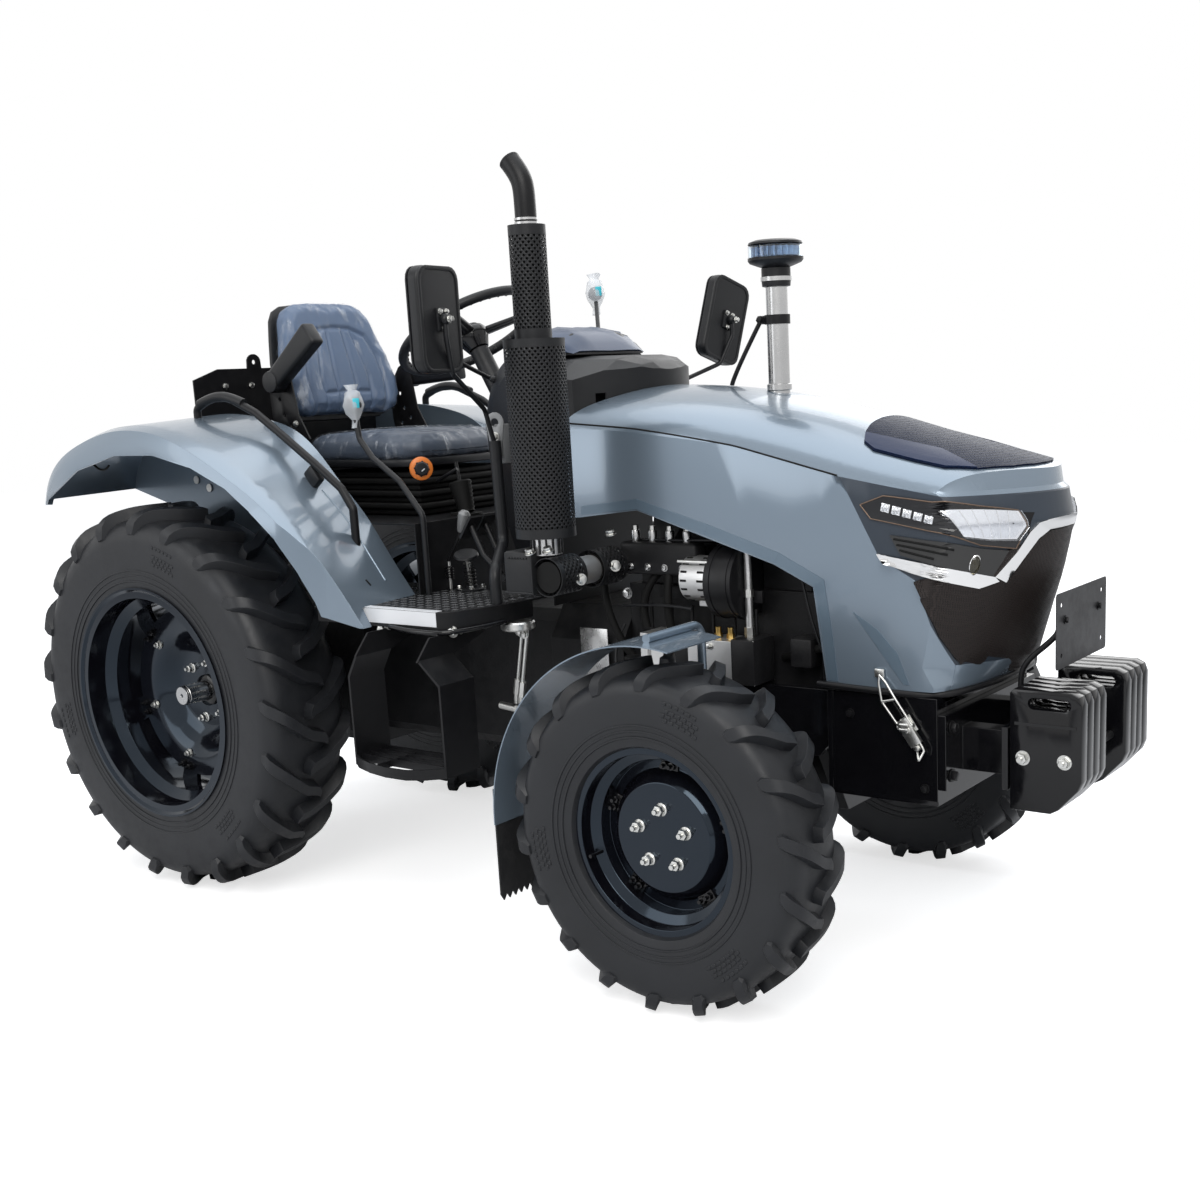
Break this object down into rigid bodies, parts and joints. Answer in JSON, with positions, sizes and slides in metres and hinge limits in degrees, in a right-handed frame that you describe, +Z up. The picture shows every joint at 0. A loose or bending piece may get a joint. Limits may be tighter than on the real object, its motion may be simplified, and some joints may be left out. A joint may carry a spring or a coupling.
{
  "type": "mini tractor",
  "caption": "Compact four-wheel-drive farm tractor with flip-up hood, driver's seat, upright silencer, nose weights and rear three-point hitch.",
  "frame": {"origin": "on the ground, on the centre line, half way between the face of the nose weights and the ends of the lower links", "axes": "+X forward, +Y to the driver's left, +Z up"},
  "size_m": [3.29, 1.405, 1.9055],
  "materials": {
    "tyre": "matte",
    "flap": "matte",
    "hood_paint": "gloss",
    "mask": "gloss",
    "lamp": "gloss",
    "vinyl": "satin",
    "cast": "satin",
    "weights": "gloss",
    "plastic": "satin",
    "bright": "satin",
    "intake": "satin",
    "black_steel": "satin"
  },
  "bodies": {
    "chassis": {"alternator": "bright", "armrests": "plastic", "battery_box": "weights", "control_levers": "plastic", "dashboard": "plastic", "drawbar": "black_steel", "engine": "cast", "exhaust": "black_steel", "firewall": "black_steel", "front_axle": "cast", "front_frame": "weights", "front_weights": "weights", "handrails": "black_steel", "hydraulic_pumps": "bright", "instrument_cowl": "plastic", "mirrors": "plastic", "number_plate": "black_steel", "pedals": "black_steel", "platforms": "black_steel", "pto_shaft": "bright", "radiator": "black_steel", "rear_axle": "cast", "rear_fender_left": "hood_paint", "rear_fender_right": "hood_paint", "rear_panel": "black_steel", "seat_back": "vinyl", "seat_base": "black_steel", "seat_cushion": "vinyl", "seat_deck": "black_steel", "steps": "black_steel", "transmission": "cast", "weight_carrier": "weights"},
    "hood": {"hood_top": "hood_paint", "hood_side_right": "hood_paint", "hood_side_left": "hood_paint", "grille_mask": "mask", "headlamps": "lamp", "hood_lip": "hood_paint", "air_intake": "intake"},
    "steering_wheel": {"steering_wheel": "plastic"},
    "tie_rod": {"tie_rod": "black_steel"},
    "lift_arms": {"lift_arms": "black_steel"},
    "lift_rods": {"lift_rods": "black_steel"},
    "lower_links": {"lower_links": "black_steel"},
    "swivel_right": {"knuckle_right": "cast", "front_fender_right": "hood_paint", "mud_flap_right": "flap"},
    "front_wheel_right": {"front_rim_right": "black_steel", "front_tyre_right": "tyre"},
    "rear_wheel_right": {"rear_rim_right": "black_steel", "rear_tyre_right": "tyre"},
    "swivel_left": {"knuckle_left": "cast", "front_fender_left": "hood_paint", "mud_flap_left": "flap"},
    "front_wheel_left": {"front_rim_left": "black_steel", "front_tyre_left": "tyre"},
    "rear_wheel_left": {"rear_rim_left": "black_steel", "rear_tyre_left": "tyre"}
  },
  "joints": [
    {"name": "steer_right", "type": "hinge", "parent": "chassis", "child": "swivel_right", "pos_m": [0.85499, -0.47, 0.4], "axis": [0, 0, 1], "range_deg": [-35, 35]},
    {"name": "steer_left", "type": "hinge", "parent": "chassis", "child": "swivel_left", "pos_m": [0.85499, 0.47, 0.4], "axis": [0, 0, 1], "range_deg": [-35, 35]},
    {"name": "tie_rod_pin", "type": "hinge", "parent": "swivel_right", "child": "tie_rod", "pos_m": [0.70499, -0.47, 0.306], "axis": [0, 0, 1], "range_deg": [-35, 35]},
    {"name": "steering_wheel_turn", "type": "hinge", "parent": "chassis", "child": "steering_wheel", "pos_m": [-0.20501, 0, 1.536], "axis": [-0.5, 0, 0.866], "range_deg": [-525, 525]},
    {"name": "front_wheel_right_spin", "type": "hinge", "parent": "swivel_right", "child": "front_wheel_right", "pos_m": [0.85499, -0.6, 0.4], "axis": [0, 1, 0], "continuous": true},
    {"name": "front_wheel_left_spin", "type": "hinge", "parent": "swivel_left", "child": "front_wheel_left", "pos_m": [0.85499, 0.6, 0.4], "axis": [0, 1, 0], "continuous": true},
    {"name": "rear_wheel_right_spin", "type": "hinge", "parent": "chassis", "child": "rear_wheel_right", "pos_m": [-0.89501, -0.545, 0.5525], "axis": [0, 1, 0], "continuous": true},
    {"name": "rear_wheel_left_spin", "type": "hinge", "parent": "chassis", "child": "rear_wheel_left", "pos_m": [-0.89501, 0.545, 0.5525], "axis": [0, 1, 0], "continuous": true},
    {"name": "hood_hinge", "type": "hinge", "parent": "chassis", "child": "hood", "pos_m": [0.36299, 0, 1.388], "axis": [0, -1, 0], "range_deg": [0, 50]},
    {"name": "lift_arm_turn", "type": "hinge", "parent": "chassis", "child": "lift_arms", "pos_m": [-1.01501, 0, 0.9025], "axis": [0, 1, 0], "range_deg": [-15, 35]},
    {"name": "lift_rod_pin", "type": "hinge", "parent": "lift_arms", "child": "lift_rods", "pos_m": [-1.28091, 0, 0.85562], "axis": [0, 1, 0], "range_deg": [-40, 20]},
    {"name": "lower_link_pin", "type": "hinge", "parent": "chassis", "child": "lower_links", "pos_m": [-0.96501, 0, 0.4225], "axis": [0, 1, 0], "range_deg": [-15, 32]}
  ],
  "couplings": [
    {"joint": "steer_left", "follows": "steer_right", "ratio": 1},
    {"joint": "tie_rod_pin", "follows": "steer_right", "ratio": -1},
    {"joint": "steering_wheel_turn", "follows": "steer_right", "ratio": 15},
    {"joint": "lower_link_pin", "follows": "lift_arm_turn", "ratio": 0.84489},
    {"joint": "lift_rod_pin", "follows": "lift_arm_turn", "ratio": -0.98433}
  ]
}
